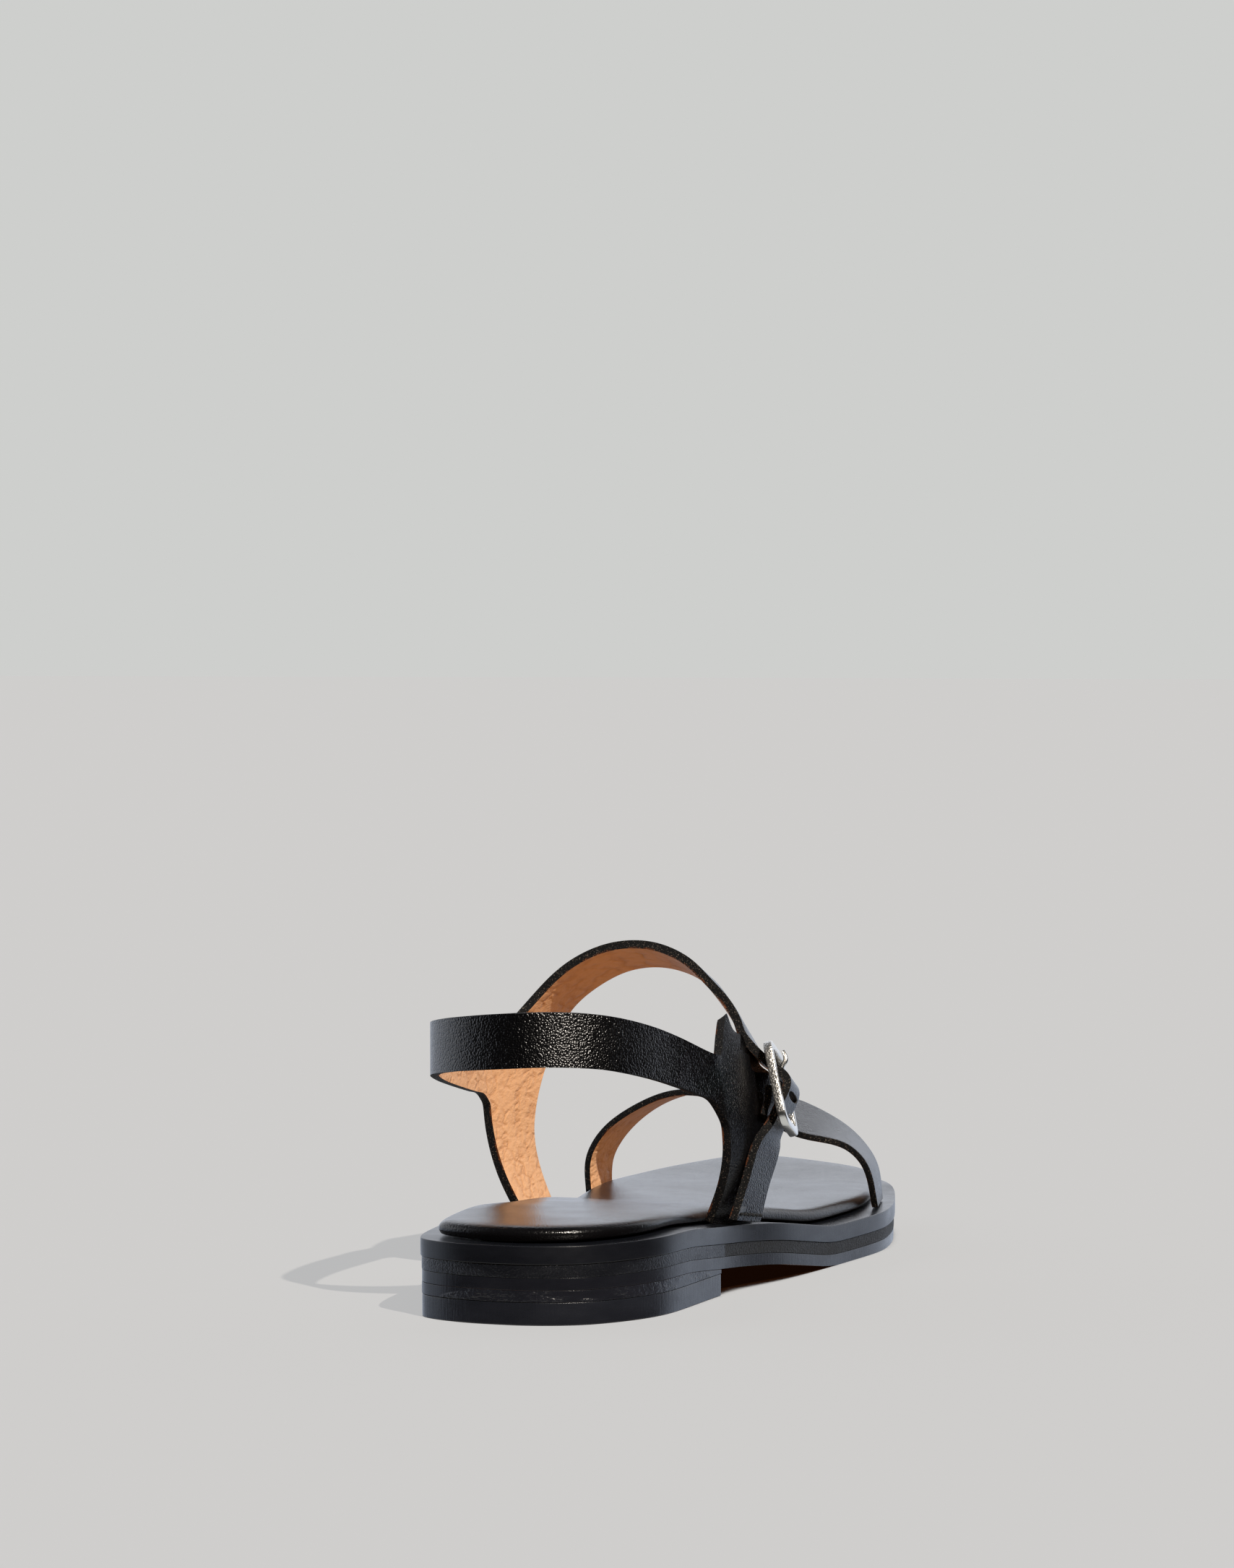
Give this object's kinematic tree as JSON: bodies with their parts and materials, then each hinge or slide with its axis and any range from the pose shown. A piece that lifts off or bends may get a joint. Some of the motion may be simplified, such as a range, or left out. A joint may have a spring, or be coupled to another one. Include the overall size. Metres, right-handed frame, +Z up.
{
  "type": "slingback sandal",
  "caption": "Open leather slingback sandal for the right foot: stacked sole with a low heel, padded insole, toe strap, and an instep strap fastened by a side buckle.",
  "frame": {"origin": "on the floor, under the middle of the sole's length and width", "axes": "+Y from the heel to the toe, +X to the outer side with the buckle, +Z up"},
  "size_m": [0.0892, 0.2494, 0.0862],
  "materials": {
    "outsole_leather": "satin",
    "rough_midsole": "rough",
    "welt_leather": "satin",
    "heel_leather": "satin",
    "top_piece_rubber": "matte",
    "insole_leather": "smooth satin",
    "strap_leather": "fine grain, satin, tan lining inside",
    "toe_strap_leather": "fine grain, satin, tan lining inside",
    "chape_leather": "satin",
    "buckle_metal": "satin silver",
    "prong_metal": "satin silver"
  },
  "bodies": {
    "root": {"outsole": "outsole_leather", "midsole": "rough_midsole", "welt": "welt_leather", "heel_lift": "heel_leather", "heel_top_piece": "top_piece_rubber", "insole": "insole_leather", "upper": "strap_leather", "toe_strap": "toe_strap_leather", "buckle_chape": "chape_leather", "buckle_frame": "buckle_metal", "buckle_prong": "prong_metal"}
  },
  "joints": []
}
